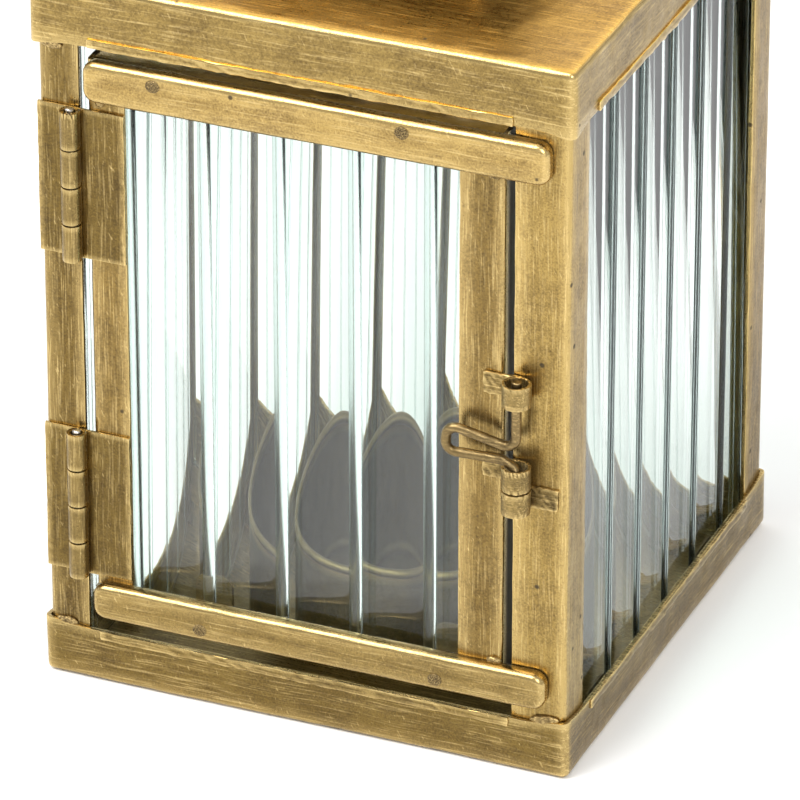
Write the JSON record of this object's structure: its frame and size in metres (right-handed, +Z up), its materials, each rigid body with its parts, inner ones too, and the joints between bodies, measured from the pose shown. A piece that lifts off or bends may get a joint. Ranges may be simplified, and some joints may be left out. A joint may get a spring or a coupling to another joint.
{
  "type": "candle lantern",
  "caption": "Square brass table lantern with fluted glass panes, a hinged front door held by a drop wire latch, a vented chimney and a ring handle.",
  "frame": {"origin": "centre of the face that the lantern stands on", "axes": "+Z up, the door faces -Y, the hinges are on its -X side"},
  "size_m": [0.1216, 0.1265, 0.204],
  "materials": {
    "brass_sheet": "antique, brushed",
    "brass_hinge": "antique, brushed, a little darker",
    "brass_wire": "antique, darkened wire",
    "brass_dark": "dark patina",
    "steel_pin": "bright wire",
    "fluted_glass": "clear, faint green edge"
  },
  "bodies": {
    "case": {"base_tray": "brass_sheet", "candle_cup": "brass_sheet", "post_front_left": "brass_sheet", "post_front_right": "brass_sheet", "post_back_left": "brass_sheet", "post_back_right": "brass_sheet", "top_cap": "brass_sheet", "glass_right": "fluted_glass", "glass_back": "fluted_glass", "glass_left": "fluted_glass", "pane_tabs_right": "brass_dark", "pane_tabs_back": "brass_dark", "pane_tabs_left": "brass_dark", "chimney_collar": "brass_sheet", "chimney_roof": "brass_sheet", "ring_eye": "brass_sheet", "eye_washer": "brass_dark", "upper_hinge_frame_leaf": "brass_hinge", "upper_hinge_pin": "steel_pin", "lower_hinge_frame_leaf": "brass_hinge", "lower_hinge_pin": "steel_pin", "latch_keeper": "brass_hinge"},
    "door": {"door_top_rail": "brass_sheet", "door_bottom_rail": "brass_sheet", "door_hinge_stile": "brass_sheet", "door_latch_stile": "brass_sheet", "door_glass": "fluted_glass", "door_glass_clips": "brass_dark", "door_clip_rivets": "brass_dark", "upper_hinge_door_leaf": "brass_hinge", "lower_hinge_door_leaf": "brass_hinge", "latch_upper_barrel": "brass_hinge", "latch_lower_barrel": "brass_hinge"},
    "latch": {"latch_pin": "brass_wire"},
    "ring": {"ring_handle": "brass_wire"}
  },
  "joints": [
    {"name": "door_hinge", "type": "hinge", "parent": "case", "child": "door", "pos_m": [-0.0508, -0.0615, 0.081], "axis": [0, 0, -1], "range_deg": [0, 180]},
    {"name": "latch_slide", "type": "slide", "parent": "door", "child": "latch", "axis": [0, 0, 1], "range_m": [-0.003, 0.0048]},
    {"name": "ring_swing", "type": "hinge", "parent": "case", "child": "ring", "pos_m": [0, 0, 0.1998], "axis": [1, 0, 0], "range_deg": [0, 235]}
  ]
}
